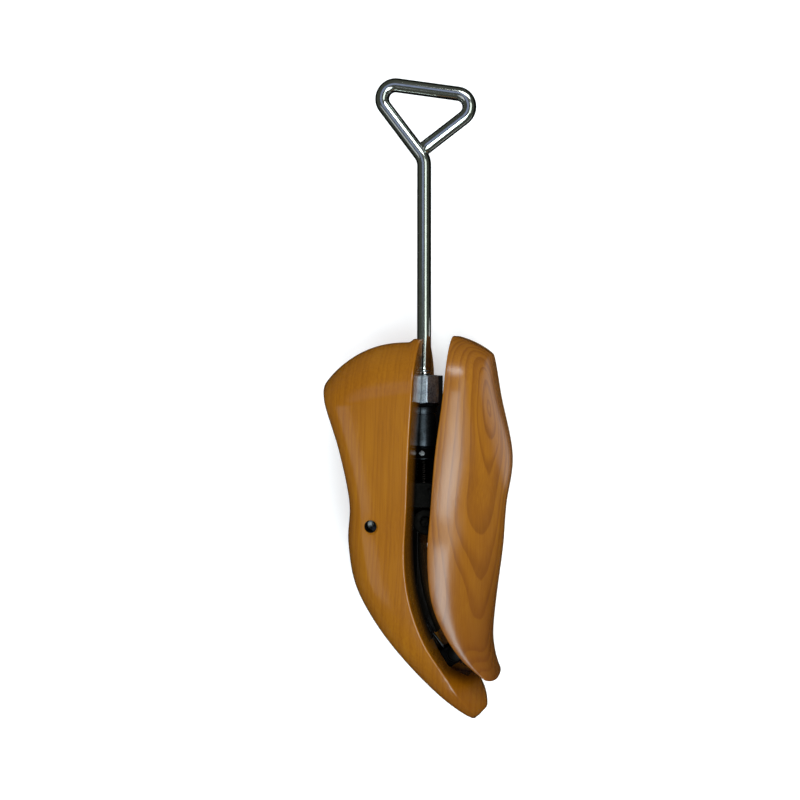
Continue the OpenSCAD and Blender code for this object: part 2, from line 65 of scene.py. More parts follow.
def at_hinge(points):
    """Points of the hinge's own frame, turned 30 degrees about Z, to the maker's frame."""
    c, s = math.cos(HINGE_TURN), math.sin(HINGE_TURN)
    turn = np.array([[c, -s, 0], [s, c, 0], [0, 0, 1]])
    return np.asarray(points, float) @ turn.T + HINGE


def unit(vectors):
    """The vectors, each divided by its length."""
    return vectors / np.linalg.norm(vectors, axis=-1, keepdims=True)


def grid(points, round_rows=False, round_columns=True, ends=False):
    """Quads over a grid of points, joined round where asked, with flat ends on its rows."""
    rows, columns = points.shape[:2]
    index = np.arange(rows * columns).reshape(rows, columns)
    below = index if round_rows else index[:-1]
    above = np.roll(index, -1, 0) if round_rows else index[1:]
    if round_columns:
        quads = np.stack([below, np.roll(below, -1, 1), np.roll(above, -1, 1), above], -1)
    else:
        quads = np.stack([below[:, :-1], below[:, 1:], above[:, 1:], above[:, :-1]], -1)
    faces = quads.reshape(-1, 4).tolist()
    if ends:
        faces += [index[0][::-1].tolist(), index[-1].tolist()]
    return points.reshape(-1, 3), faces


def add_object(name, data):
    """Puts a mesh, light or camera in the scene, at the origin."""
    made = bpy.data.objects.new(name, data)
    bpy.context.scene.collection.objects.link(made)
    return made


def add_solid(name, parts):
    """Object at the origin with one mesh, in metres, from parts given in millimetres."""
    points, faces, base = [], [], 0
    for part_points, part_faces in parts:
        points.append(part_points)
        faces += [[base + k for k in face] for face in part_faces]
        base += len(part_points)
    mesh = bpy.data.meshes.new(name)
    mesh.from_pydata(place(np.concatenate(points)).tolist(), [], faces)
    tidy(mesh)
    return add_object(name, mesh)


def tidy(mesh):
    """Merges doubled points, drops empty faces and turns every shell's faces outwards."""
    work = bmesh.new()
    work.from_mesh(mesh)
    bmesh.ops.remove_doubles(work, verts=work.verts, dist=2e-6)
    bmesh.ops.dissolve_degenerate(work, dist=1e-7, edges=work.edges)
    bmesh.ops.recalc_face_normals(work, faces=work.faces)
    work.to_mesh(mesh)
    work.free()
    mesh.update()


def cut(body, cutters):
    """Body less the cutters, worked out exactly; the cutters are then removed."""
    for cutter in cutters:
        step = body.modifiers.new("cut", "BOOLEAN")
        step.operation, step.solver, step.object = "DIFFERENCE", "EXACT", cutter
    bpy.context.view_layer.update()
    graph = bpy.context.evaluated_depsgraph_get()
    mesh = bpy.data.meshes.new_from_object(body.evaluated_get(graph))
    body.modifiers.clear()
    body.data = mesh
    for cutter in cutters:
        bpy.data.objects.remove(cutter)


def finish_piece(made, body, slot, nodes, material, sharp=35, weighted=False):
    """Smooth shading up to the sharp angle, the material, the body that it rides on and
    the CAD nodes that it stands for."""
    made.data.shade_smooth()
    made.data.set_sharp_from_angle(angle=math.radians(sharp))
    if weighted:
        step = made.modifiers.new("flat faces shade flat", "WEIGHTED_NORMAL")
        step.keep_sharp = True
    made.data.materials.clear()
    made.data.materials.append(material)
    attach(made, body)
    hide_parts(*nodes)
    return made


def add_piece(name, parts, body, slot, nodes, material, cutters=(), **finish):
    """A finished piece from parts in millimetres, less the cutters."""
    made = add_solid(name, parts)
    if cutters:
        cut(made, list(cutters))
    return finish_piece(made, body, slot, nodes, material, **finish)


def corner_arc(before, corner, after, radius, steps=None):
    """Arc that touches both sides of a corner, in steps or else one step for 4 degrees. Its
    points are centre + (sin((1 - a) s) p + sin(a s) q) / sin(s), where s is its sweep, p and
    q lead from its centre to its ends, and a goes from 0 to 1."""
    before, after = before - corner, after - corner
    room = 0.49 * min(np.linalg.norm(before), np.linalg.norm(after))
    before, after = unit(before), unit(after)
    half = math.acos(np.clip(before @ after, -1, 1)) / 2
    cut_back = min(radius / math.tan(half), room)
    radius = cut_back * math.tan(half)
    centre = corner + unit(before + after) * radius / math.sin(half)
    start, end = corner + before * cut_back - centre, corner + after * cut_back - centre
    sweep = math.pi - 2 * half
    count = steps + 1 if steps else max(6, int(math.degrees(sweep) / 4))
    return [centre + (math.sin((1 - a) * sweep) * start + math.sin(a * sweep) * end) / math.sin(sweep)
            for a in np.linspace(0, 1, count)]


def rounded(corners, radius, steps=4):
    """Closed outline with each corner replaced by an arc that touches both of its sides."""
    corners = np.asarray(corners, float)
    corners = zip(np.roll(corners, 1, 0), corners, np.roll(corners, -1, 0),
                  np.broadcast_to(radius, len(corners)))
    return np.array([point for corner in corners for point in corner_arc(*corner, steps)])


def circle(radius, angles):
    """Points (radius cos, radius sin) at the angles."""
    return np.column_stack([radius * np.cos(angles), radius * np.sin(angles)])


def lathe(profile, origin, axis, segments, closed=False):
    """Profile of (radius, distance along the axis) carried round an axis through origin."""
    profile = np.asarray(profile, float)
    a = np.linspace(0, 2 * math.pi, segments, endpoint=False)
    r, along = profile[:, :1], profile[:, 1:] + 0 * a
    first, second = r * np.cos(a), r * np.sin(a)
    order = {"x": (along, first, second), "y": (first, along, second), "z": (first, second, along)}
    return grid(np.stack(order[axis], -1) + np.asarray(origin, float), round_rows=closed)


def slab(outline, low, high, edge):
    """Outline in X and Y carried along Z from low to high, with rims rounded by edge: a row
    drawn in by edge (1 - sin a) stands edge (1 - cos a) inside each end."""
    outline = np.asarray(outline, float)
    ahead, back = unit(np.roll(outline, -1, 0) - outline), unit(outline - np.roll(outline, 1, 0))
    area = np.sum(outline[:, 0] * np.roll(outline[:, 1], -1)
                  - outline[:, 1] * np.roll(outline[:, 0], -1))
    inward = unit(np.stack([-(ahead + back)[:, 1], (ahead + back)[:, 0]], 1) * np.sign(area))
    inward /= np.clip(np.abs(np.sum(inward * np.stack([-ahead[:, 1], ahead[:, 0]], 1), 1)),
                      0.5, 1)[:, None]
    a = np.linspace(0, math.pi / 2, 4)
    inset = edge * (1 - np.sin(a))
    level = edge * (1 - np.cos(a))
    rows = [(i, low + z) for i, z in zip(inset, level)]
    rows += [(i, high - z) for i, z in zip(inset[::-1], level[::-1])]
    points = np.stack([np.column_stack([outline + inward * i, np.full(len(outline), z)])
                       for i, z in rows])
    return grid(points, ends=True)


def turned(part, order):
    """The same part with its axes taken in another order, as (0, 2, 1) for X, Z, Y."""
    return part[0][:, list(order)], part[1]


def hinged(part):
    """The same part, taken from the hinge's frame to the maker's."""
    return at_hinge(part[0]), part[1]


def tube(path, radius):
    """Round tube along a path in space, whose frame is carried along without twist."""
    path = np.asarray(path, float)
    along = unit(np.gradient(path, axis=0))
    side = np.cross(along[0], [0, 0, 1.0])
    if np.linalg.norm(side) < 1e-3:
        side = np.cross(along[0], [1.0, 0, 0])
    sides = []
    for t in along:
        side = unit(side - t * (side @ t))
        sides.append(side)
    sides = np.array(sides)
    ups = np.cross(along, sides)
    a = np.linspace(0, 2 * math.pi, 14, endpoint=False)[None, :, None]
    rings = path[:, None] + radius * (np.cos(a) * sides[:, None] + np.sin(a) * ups[:, None])
    return grid(rings, ends=True)


# Wooden halves: tables, sections and cutters.

# Stations from the heel end to the toe: split line x and y, outer line x and y, bow of the
# section line, half width, and the exponent that squares the section's outer corner.
SOLE = np.array([
    [0.5, -3.2, -51.4, -25, 8.0, 8.5, 7.0],
    [-0.4, -30, -47.4, -38.5, 0.5, 37.5, 7.0],
    [-2.2, -58, -40.8, -60, 0, 36.5, 6.5],
    [-3.3, -85, -36, -86, 0, 35.6, 5.5],
    [-4.2, -108, -37.4, -106, 0, 37.3, 4.0],
    [-3.4, -124, -34.6, -126.4, 0, 37.5, 3.6],
    [-0.4, -140, -26.8, -143.5, 0, 36, 3.4],
    [6, -158, -14.2, -161.8, 0, 32.2, 3.2],
    [16.5, -176, 3.8, -181.4, 0, 26.6, 3.2],
    [30.4, -198.4, 27.8, -201, 0.3, 4.1, 3.4],
])
INSTEP = np.array([
    [17.2, 0.8, 36.8, -9, 1, 8.5, 2.8],
    [15.4, -28, 40.2, -30, 0, 36.5, 2.5],
    [11.2, -60, 46.8, -62, 0, 36.5, 2.2],
    [8.8, -88, 43.6, -88, 0, 35.6, 2.1],
    [7.5, -108, 41.9, -110, 0, 37.2, 2.1],
    [8.2, -126, 39.3, -130, 0, 36.9, 2.1],
    [10.8, -140, 37.4, -146, 0, 35, 2.1],
    [17.2, -155, 36.6, -158, 0, 31.5, 2.2],
    [25, -166.5, 37.8, -168.5, 0, 28, 2.3],
    [34.4, -175.6, 40.4, -178.6, 0.3, 24, 2.4],
])
HALF_WIDE = 37.5
# toe cap of the sole half: its height, the station values where it starts and is full, and
# the share of it that is lost again at the tip
CROWN, CROWN_START, CROWN_FULL, CROWN_FALL = 9.2, 7.75, 8.4, 0.45
# small ridge that the saw left at the heel end beside the split: its height and width
RIDGE, RIDGE_WIDE = 2.2, 4.2


def curve_through(values, t):
    """Catmull-Rom curve through rows of values at 0, 1, 2 ..., with straight run-outs:
    half of 2b + (c - a)u + (2a - 5b + 4c - d)u^2 + (3b - a - 3c + d)u^3."""
    values = np.asarray(values, float)
    first, last = 2 * values[:1] - values[1:2], 2 * values[-1:] - values[-2:-1]
    padded = np.vstack([first, values, last])
    t = np.asarray(t, float)
    i = np.clip(np.floor(t).astype(int), 0, len(values) - 2)
    u = (t - i)[:, None]
    a, b, c, d = (padded[i + k] for k in range(4))
    return 0.5 * (2 * b + (c - a) * u + (2 * a - 5 * b + 4 * c - d) * u ** 2
                  + (3 * b - a - 3 * c + d) * u ** 3)


def stations(table, t, pointed):
    """Rows of a station table at t, with the crown of the split face as an eighth column.
    The half width is an ellipse over the first span, and over the last one of a pointed
    toe: w0 + (w1 - w0) * sqrt(1 - (1 - t)^2)."""
    t = np.asarray(t, float)
    rows = curve_through(table, t)
    last = len(table) - 1
    inner = table[1:last] if pointed else table[1:]
    width = np.minimum(curve_through(inner[:, 5:6], t - 1)[:, 0], HALF_WIDE)
    heel = table[0, 5] + (inner[0, 5] - table[0, 5]) * np.sqrt(1 - (1 - np.clip(t, 0, 1)) ** 2)
    width = np.where(t < 1, heel, width)
    crown = np.zeros(len(t))
    if pointed:
        tip = np.clip(t - last + 1, 0, 1)
        toe = table[last, 5] + (inner[-1, 5] - table[last, 5]) * np.sqrt(1 - tip ** 2)
        width = np.where(t > last - 1, toe, width)
        u = np.clip((t - CROWN_START) / (CROWN_FULL - CROWN_START), 0, 1)
        v = np.clip((t - CROWN_FULL) / (last - CROWN_FULL), 0, 1)
        crown = CROWN * (3 * u ** 2 - 2 * u ** 3) * (1 - CROWN_FALL * v ** 2)
    rows[:, 5] = width
    rows[:, 4] = np.clip(rows[:, 4], 0, None)
    return np.column_stack([rows, crown])


def wood_ring(row, inset, ridge):
    """One section of a wooden half, as a closed ring. The outside is z = w c^(2/p) at the
    share q = s^(2/p) of the way from the split line to the outer line; the split face rises
    by crown * (1 - (z / w)^2). The inset draws the ends of the section line in, and lip
    rounds the edges of the split face."""
    split, outer, bow, width, power, crown = row[0:2], row[2:4], row[4], row[5], row[6], row[7]
    along = outer - split
    length = np.linalg.norm(along)
    along = along / length
    split, outer, length = split + along * inset, outer - along * inset, length - 2 * inset
    out = np.array([along[1], -along[0]])
    out = -out if out[1] < 0 else out
    lip, count = min(0.7, 0.3 * length, 0.3 * width), 72
    a = np.linspace(0, math.pi / 2, 400)
    z = width * np.cos(a) ** (2 / power)
    q = np.sin(a) ** (2 / power)
    keep = q > lip / length
    q, z = np.concatenate([[lip / length], q[keep]]), np.concatenate([[width], z[keep]])
    path = np.concatenate([[0], np.cumsum(np.hypot(np.diff(q * length), np.diff(z)))])
    steps = path[-1] * np.linspace(0, 1, count) ** 1.15
    q, z = np.interp(steps, path, q), np.interp(steps, path, z)
    z[-1] = 0
    fillet = np.linspace(0, math.pi / 2, 6)[:-1]
    start_q = lip * (1 - np.cos(fillet))[:, None] / length
    face_z = np.linspace(0, width - lip, 9)[:-1]
    z = np.concatenate([face_z, width - lip * (1 - np.sin(fillet)), z])
    q = np.concatenate([0 * face_z, start_q[:, 0], q])
    split_side = np.arange(len(q)) < len(face_z) + len(fillet)
    q = q - np.where(split_side, crown / length * (1 - (z / width) ** 2), 0)
    q, z = np.concatenate([q, q[-2:0:-1]]), np.concatenate([z, -z[-2:0:-1]])
    raised = ridge / (1 + (q * length / RIDGE_WIDE) ** 8)
    arc = 4 * bow * q * (1 - q) * (q > 0)
    flat = split + np.outer(q * length, along) + np.outer(arc, out)
    flat[:, 1] += raised
    return np.column_stack([flat, z])


def wood_steps(table, pointed):
    """Station values and insets of the rings: near an end of the half, a ring at distance
    d from the end is drawn in by r - sqrt(r^2 - (r - d)^2)."""
    end_round = 0.9
    last = len(table) - 1
    inner_end = last - 1 if pointed else last
    reach = np.linalg.norm(table[1, 0:2] - table[0, 0:2])
    reach_end = np.linalg.norm(table[-1, 0:2] - table[-2, 0:2])
    quarter = np.linspace(0, math.pi / 2, 30)
    t = [1 - np.cos(quarter), np.arange(1, inner_end + 0.001, 1 / 14)[1:],
         end_round * np.linspace(0, 1, 6) ** 2 / reach]
    t.append(last - 1 + np.sin(quarter)[1:] if pointed
             else last - end_round * np.linspace(1, 0, 6) / reach_end)
    t = np.unique(np.round(np.concatenate(t), 6))
    distance = np.minimum(t * reach, (last - t) * reach_end)
    inside = np.clip(end_round - distance, 0, end_round)
    return t, end_round - np.sqrt(end_round ** 2 - inside ** 2)


def wood_half(table, pointed, ridge=0.0):
    """Loft of the sections, with both ends closed by strips drawn in to the middle plane."""
    t, inset = wood_steps(table, pointed)
    rows = stations(table, t, pointed)
    ridges = ridge * np.clip(1 - t / 0.35, 0, 1) ** 2
    rings = [wood_ring(row, i, r) for row, i, r in zip(rows, inset, ridges)]
    shares = np.linspace(1, 0, 9)[1:]
    start = [rings[0] * [1, 1, s] for s in shares[::-1]]
    end = [rings[-1] * [1, 1, s] for s in shares]
    return grid(np.stack(start + rings + end))


def floor_depth(row, floor):
    """Distance from the split line to a floor line, along a section."""
    along = unit(row[2:4] - row[0:2])
    offset = floor - row[0:2]
    side = offset[:, 0] * along[1] - offset[:, 1] * along[0]
    order = np.argsort(side)
    return float(np.interp(0, side[order], (offset @ along)[order]))


def groove_cutter(name, table, pointed, floor, first, last):
    """Groove of a constant width down to a floor line, with chamfered lips that follow the
    split face."""
    half, chamfer, over = GROOVE_HALF, 0.45, 2.0
    corners = np.asarray(floor, float)
    fine = np.concatenate([np.linspace(a, b, 60) for a, b in zip(corners[:-1], corners[1:])])
    rings = []
    t = np.linspace(first, last, 90)
    for row in stations(table, t, pointed):
        depth = floor_depth(row, fine)
        along = unit(row[2:4] - row[0:2])
        lip = row[7] * (1 - (half / row[5]) ** 2) if row[7] else 0
        reach = np.array([depth, depth, chamfer - lip, -over - lip, -over - lip, chamfer - lip])
        wide = half + np.array([0, 0, 0, over + chamfer, over + chamfer, 0])
        z = wide * [-1, 1, 1, 1, -1, -1]
        flat = row[0:2] + np.outer(reach, along)
        rings.append(np.column_stack([flat, z]))
    return add_solid(name, [grid(np.stack(rings), ends=True)])


def box_cutter(name, low, high, in_hinge=False):
    """Plain box, in the maker's frame or in the hinge's."""
    outline = [(low[0], low[1]), (high[0], low[1]), (high[0], high[1]), (low[0], high[1])]
    part = slab(rounded(outline, 1.2), low[2], high[2], edge=0.3)
    return add_solid(name, [hinged(part) if in_hinge else part])


def plug_cutter(name, side):
    """Plug hole with a small countersink, from one side of the sole half."""
    r, top, bottom = 3.25, 35.85, 25.6
    profile = [(0, bottom - 1.2), (r, bottom), (r, top - 0.45), (r + 3.5, top + 3.05),
               (0, top + 3.05)]
    points, faces = lathe(profile, (0, 0, 0), "z", 72)
    return add_solid(name, [(points * [1, 1, side] + [-22, -96.8, 0], faces)])


# groove floors, from the heel end to the toe
SOLE_FLOOR = [(-12.6, 14), (-12.6, -139), (-5.9, -144.8), (-3.9, -148.2), (12.1, -175.9),
              (16, -177.6), (24, -178.4)]
INSTEP_FLOOR = [(13.2, -40), (19.6, -52), (19.6, -144.1), (28.7, -166.2), (33, -173.7)]


# Materials, named for what the real parts are made of.

def linear(code):
    """sRGB hex colour as linear red, green, blue and alpha."""
    parts = np.array([int(code[k:k + 2], 16) for k in (1, 3, 5)]) / 255
    values = np.where(parts <= 0.04045, parts / 12.92, ((parts + 0.055) / 1.055) ** 2.4)
    return (*values.tolist(), 1.0)


def add(tree, kind, inputs=None, **settings):
    """Adds one node with its settings; inputs are values, or outputs to link from, and a
    node given as an input stands for its first output."""
    made = tree.nodes.new(kind)
    for key, value in settings.items():
        setattr(made, key, value)
    for key, value in (inputs or {}).items():
        if isinstance(value, bpy.types.Node):
            value = value.outputs[0]
        if isinstance(value, bpy.types.NodeSocket):
            tree.links.new(value, made.inputs[key])
        else:
            made.inputs[key].default_value = value
    return made


def new_material(name, **sockets):
    """A material with one Principled surface whose plain sockets are set directly."""
    made = bpy.data.materials.new(name)
    made.use_nodes = True
    tree = made.node_tree
    tree.nodes.clear()
    surface = add(tree, "ShaderNodeBsdfPrincipled", sockets)
    add(tree, "ShaderNodeOutputMaterial", {"Surface": surface.outputs["BSDF"]})
    return made, tree, surface


def set_ramp(node, stops):
    """Colour stops of a ramp, as (place, hex colour)."""
    ramp = node.color_ramp
    while len(ramp.elements) > 1:
        ramp.elements.remove(ramp.elements[-1])
    ramp.elements[0].position, ramp.elements[0].color = stops[0][0], linear(stops[0][1])
    for place_, code in stops[1:]:
        ramp.elements.new(place_).color = linear(code)


def weighted(tree, *terms):
    """Sum of each output times its share, from terms given as (output, share)."""
    total = 0.0
    for output, share in terms:
        total = add(tree, "ShaderNodeMath", {0: output, 1: share, 2: total}, operation="MULTIPLY_ADD")
    return total


def millimetres(tree):
    """Object coordinates in millimetres."""
    metres = add(tree, "ShaderNodeTexCoord").outputs["Object"]
    return add(tree, "ShaderNodeMapping", {"Vector": metres, "Scale": (1000, 1000, 1000)})


def within(tree, mm, low, high, fade):
    """1 inside a box of the maker's frame and 0 outside: the greater of |p - centre| / half
    along X and Y, compared with 1, times a fall from 1 to 0 over the fade beyond its Z."""
    low, high = np.array(low) + SHIFT, np.array(high) + SHIFT
    away = add(tree, "ShaderNodeVectorMath", {0: mm, 1: tuple((low + high) / 2)}, operation="SUBTRACT")
    away = add(tree, "ShaderNodeVectorMath", {0: away}, operation="ABSOLUTE")
    away = add(tree, "ShaderNodeVectorMath", {0: away, 1: tuple((high - low) / 2)}, operation="DIVIDE")
    away = add(tree, "ShaderNodeSeparateXYZ", {0: away})
    most = add(tree, "ShaderNodeMath", {0: away, 1: away.outputs[1]}, operation="MAXIMUM")
    inside = add(tree, "ShaderNodeMath", {0: most, 1: 1.0}, operation="LESS_THAN")
    half = (high[2] - low[2]) / 2
    fall = add(tree, "ShaderNodeMapRange", {"Value": away.outputs[2], "From Min": 1.0, "To Min": 1.0,
                                            "From Max": 1 + fade / half, "To Max": 0.0},
               interpolation_type="SMOOTHSTEP")
    return add(tree, "ShaderNodeMath", {0: inside, 1: fall}, operation="MULTIPLY")


def lacquered_wood(name, pith, heading, ring, swirl, lines, tones, gloss, toe_shade_span, shaded_hollows):
    """Fine-grained hardwood under clear lacquer. Growth rings are shells round a pith line
    through a point of the maker's frame: the distance from the line, |(p - pith) x heading|,
    over the ring width counts them, so they show as long streaks where the surface runs
    along the line and as nested arches where it leans to it. Gloss is the lacquer's
    roughness. Between two given Y values the colour is painted darker and redder towards the
    toe: painted shade. In the given boxes, round the grooves and plug holes, the wood is
    painted nearly black as painted shade, which fades out on the split face beside them."""
    made, tree, surface = new_material(name, **{
        "Roughness": 0.5, "IOR": 1.5, "Coat Weight": 1.0, "Coat Roughness": gloss,
        "Coat IOR": 1.5, "Specular IOR Level": 0.02})
    heading = unit(np.array(heading))
    mm = millimetres(tree)
    wander = add(tree, "ShaderNodeTexNoise", {"Vector": add(
        tree, "ShaderNodeMapping", {"Vector": mm, "Scale": (0.03, 0.011, 0.03)}),
        "Scale": 1.0, "Detail": 3.0, "Roughness": 0.5}).outputs["Color"]
    shift = add(tree, "ShaderNodeVectorMath", {0: wander, 1: (-0.5, -0.5, -0.5)}, operation="ADD")
    shift = add(tree, "ShaderNodeVectorMath", {0: shift, 1: (swirl, swirl, swirl)}, operation="MULTIPLY")
    bent = add(tree, "ShaderNodeVectorMath", {0: mm, 1: shift}, operation="ADD")
    offset = add(tree, "ShaderNodeVectorMath", {0: bent, 1: tuple(np.array(pith) + SHIFT)},
                 operation="SUBTRACT")
    radius = add(tree, "ShaderNodeVectorMath", {0: offset, 1: tuple(heading)}, operation="CROSS_PRODUCT")
    radius = add(tree, "ShaderNodeVectorMath", {0: radius}, operation="LENGTH")
    rings = add(tree, "ShaderNodeMath", {0: radius.outputs["Value"], 1: ring}, operation="DIVIDE")
    # slow noise along the radius, up to 2.2 rings of it, makes some rings wider than others
    uneven = add(tree, "ShaderNodeTexNoise", {"W": rings, "Scale": 0.5, "Detail": 1.0},
                 noise_dimensions="1D")
    rings = add(tree, "ShaderNodeMath", {0: uneven, 1: 2.2, 2: rings}, operation="MULTIPLY_ADD")
    season = add(tree, "ShaderNodeMath", {0: rings}, operation="FRACT")
    line = add(tree, "ShaderNodeMapRange", {"Value": season, "From Min": 0.3,
                                            "From Max": 0.94}, interpolation_type="SMOOTHSTEP")
    line_end = add(tree, "ShaderNodeMapRange", {"Value": season, "From Min": 0.94,
                                                "From Max": 1.0, "To Min": 1.0, "To Max": 0.0})
    latewood = add(tree, "ShaderNodeMath", {0: line, 1: line_end}, operation="MULTIPLY")
    # fibres about 0.6 mm wide and 25 mm long, a little coarser than real so that they show
    fibre = add(tree, "ShaderNodeTexNoise", {"Vector": add(
        tree, "ShaderNodeMapping", {"Vector": bent, "Scale": (1.5, 0.035, 1.5)}),
        "Scale": 1.0, "Detail": 4.0, "Roughness": 0.6})
    # short darker flecks, 0.5 mm wide and 3 mm long, as beech shows on its flat-sawn side
    pore = add(tree, "ShaderNodeTexVoronoi", {"Vector": add(
        tree, "ShaderNodeMapping", {"Vector": mm, "Scale": (1.1, 0.2, 1.1)}),
        "Scale": 1.0, "Randomness": 1.0})
    pore = add(tree, "ShaderNodeMapRange", {"Value": pore.outputs["Distance"], "From Min": 0.08,
                                            "From Max": 0.24, "To Min": 1.0, "To Max": 0.0})
    # broad tone changes of the board, some 30 mm across
    board = add(tree, "ShaderNodeTexNoise", {"Vector": add(
        tree, "ShaderNodeMapping", {"Vector": mm, "Scale": (0.035, 0.012, 0.035)}),
        "Scale": 1.0, "Detail": 2.0})
    tone = weighted(tree, (fibre.outputs["Fac"], 0.42), (board.outputs["Fac"], 0.58),
                    (latewood, -lines), (pore, -0.05))
    ramp = add(tree, "ShaderNodeValToRGB", {"Fac": tone})
    set_ramp(ramp, tones)
    height = add(tree, "ShaderNodeSeparateXYZ", {0: mm}).outputs["Y"]
    # painted shade: the colour grows darker and redder towards the toe between two Y values
    toe_shade_share = add(tree, "ShaderNodeMapRange", {
        "Value": height, "From Min": toe_shade_span[0] + SHIFT[1], "From Max": toe_shade_span[1] + SHIFT[1],
        "To Min": 0.0, "To Max": 0.7})
    colour = add(tree, "ShaderNodeMix", {0: toe_shade_share, 6: ramp.outputs["Color"],
                                         7: linear("#5f2f02")}, data_type="RGBA").outputs[2]
    # painted shade: the wood inside each box is painted nearly black, fading out over the box's fade
    # beyond its Z
    for low, high, fade in shaded_hollows:
        colour = add(tree, "ShaderNodeMix", {0: within(tree, mm, low, high, fade), 6: colour,
                                             7: linear("#0d0703")}, data_type="RGBA").outputs[2]
    tree.links.new(colour, surface.inputs["Base Color"])
    # the lacquer film keeps slow brush waves, and sinks a little over the flecks and pores
    film = add(tree, "ShaderNodeTexNoise", {"Vector": add(
        tree, "ShaderNodeMapping", {"Vector": mm, "Scale": (0.25, 0.06, 0.25)}),
        "Scale": 1.0, "Detail": 2.0})
    sunk = add(tree, "ShaderNodeTexNoise", {"Vector": add(
        tree, "ShaderNodeMapping", {"Vector": mm, "Scale": (0.9, 0.35, 0.9)}),
        "Scale": 1.0, "Detail": 2.0})
    film = weighted(tree, (film.outputs["Fac"], 1.0), (sunk.outputs["Fac"], 0.3),
                    (pore, -0.12), (fibre.outputs["Fac"], 0.2))
    film_bump = add(tree, "ShaderNodeBump", {"Height": film, "Strength": 0.14, "Distance": 0.0006})
    tree.links.new(film_bump.outputs[0], surface.inputs["Coat Normal"])
    return made


def metal(name, tone, dark, roughness, grain, relief, mottle, painted_shade=None):
    """Steel with its maker's marks: grain gives the marks' pitch in cycles per millimetre
    along X, Y and Z, relief their depth, and mottle how far the roughness wanders between
    the dark and the plain tone. Below a given Y value it is painted nearly black: painted shade."""
    made, tree, surface = new_material(name, Metallic=1.0)
    mm = millimetres(tree)
    marks = add(tree, "ShaderNodeTexNoise", {"Vector": add(
        tree, "ShaderNodeMapping", {"Vector": mm, "Scale": grain}),
        "Scale": 1.0, "Detail": 5.0, "Roughness": 0.6})
    cloud = add(tree, "ShaderNodeTexNoise", {"Vector": mm, "Scale": 0.22, "Detail": 3.0})
    mix = weighted(tree, (marks.outputs["Fac"], 0.5), (cloud.outputs["Fac"], 0.5))
    ramp = add(tree, "ShaderNodeValToRGB", {"Fac": mix})
    set_ramp(ramp, [(0.35, dark), (0.65, tone)])
    colour = ramp.outputs["Color"]
    if painted_shade is not None:
        # painted shade: below the given Y the steel is painted nearly black
        height = add(tree, "ShaderNodeSeparateXYZ", {0: mm}).outputs["Y"]
        start, fade = painted_shade + SHIFT[1], 1.5
        below = add(tree, "ShaderNodeMapRange", {
            "Value": height, "From Min": start - fade, "From Max": start + fade,
            "To Min": 1.0, "To Max": 0.0})
        colour = add(tree, "ShaderNodeMix", {0: below, 6: colour, 7: linear("#12100e")},
                     data_type="RGBA").outputs[2]
    tree.links.new(colour, surface.inputs["Base Color"])
    rough = add(tree, "ShaderNodeMapRange", {
        "Value": mix, "From Min": 0.3, "From Max": 0.7,
        "To Min": roughness + mottle, "To Max": roughness - mottle / 2})
    tree.links.new(rough.outputs[0], surface.inputs["Roughness"])
    bump = add(tree, "ShaderNodeBump", {"Height": marks.outputs["Fac"], "Strength": relief,
                                        "Distance": 0.0002})
    tree.links.new(bump.outputs[0], surface.inputs["Normal"])
    return made


# the two woods' tones under lacquer, from their dark rings to their light ones
BEECH = [(0.12, "#6e3f03"), (0.38, "#824d04"), (0.55, "#8d5807"), (0.8, "#9d6a0f")]
RED_BEECH = [(0.12, "#683a03"), (0.38, "#7c4804"), (0.55, "#875206"), (0.8, "#97630e")]
# sole half: painted shade darker towards the toe from Y -160 to -205, and nearly black in the groove, in
# the plug holes and on the split face beside the groove
WOOD_SOLE = lacquered_wood(
    "beech, sanded and brushed with amber lacquer, sole half",
    (210, -80, 12), (0.05, 1, 0), 3.0, 6, 0.1, BEECH, 0.2, (-160, -205),
    [((-13, -158, -8.6), (20, -3.6, 8.6), 0.3), ((-9, -158, -8.6), (20, -10, 8.6), 16),
     ((-25.4, -100.2, -34.4), (-18.6, -93.4, 34.4), 0.2)])
# instep half: painted shade darker towards the toe from Y -100 to -190, and nearly black in its groove
# and on the split face beside it
WOOD_INSTEP = lacquered_wood(
    "beech, sanded and brushed with amber lacquer, instep half",
    (20.7, -118, 15), (0.2, 1, 0.11), 3.1, 6, 0.24, RED_BEECH, 0.27, (-100, -190),
    [((2, -168, -8.6), (21, -43, 8.6), 16)])
# bright drawn bar: mirror-like along its length, with fine lines from the die; below Y = -44, deep in
# the gap, it is painted nearly black as painted shade
DRAWN_STEEL = metal("bright drawn steel", "#c9ccc8", "#b4b7b2", 0.13, (3.0, 0.02, 3.0),
                    0.04, 0.05, painted_shade=-44)
# zinc plating over a coarse hot-forged nut: bluish, pitted, softly shining
ZINC_PLATE = metal("bright zinc plating on forged steel", "#eef6fd", "#8792a3", 0.37,
                   (1.2, 1.2, 1.2), 0.5, 0.12)
# black oxide on turned steel: a dark blue-grey satin, nearly black in patches
BLACK_OXIDE = metal("black oxide on turned steel", "#4c5258", "#1c1d1f", 0.36,
                    (0.8, 4.0, 0.8), 0.1, 0.12)
# black oxide on pressed sheet, oiled: nearly black, with a dull sheen
BLACK_SHEET = metal("oiled black oxide on pressed sheet steel", "#0c0b0b", "#060505", 0.55,
                    (0.9, 0.5, 0.9), 0.12, 0.1)
# black oxide on a milled block, with fine cutter marks across it
BLACK_BLOCK = metal("oiled black oxide on milled steel", "#151413", "#0b0b0a", 0.42,
                    (0.6, 5.0, 0.6), 0.12, 0.1)
# hardened steel of the roller and its pins, dull with grease and painted nearly black as painted shade
# deep in the gap
GREASED_SHADED_STEEL = metal("greased hardened steel", "#151412", "#0b0a09", 0.48,
                      (1.5, 1.5, 6.0), 0.05, 0.06)
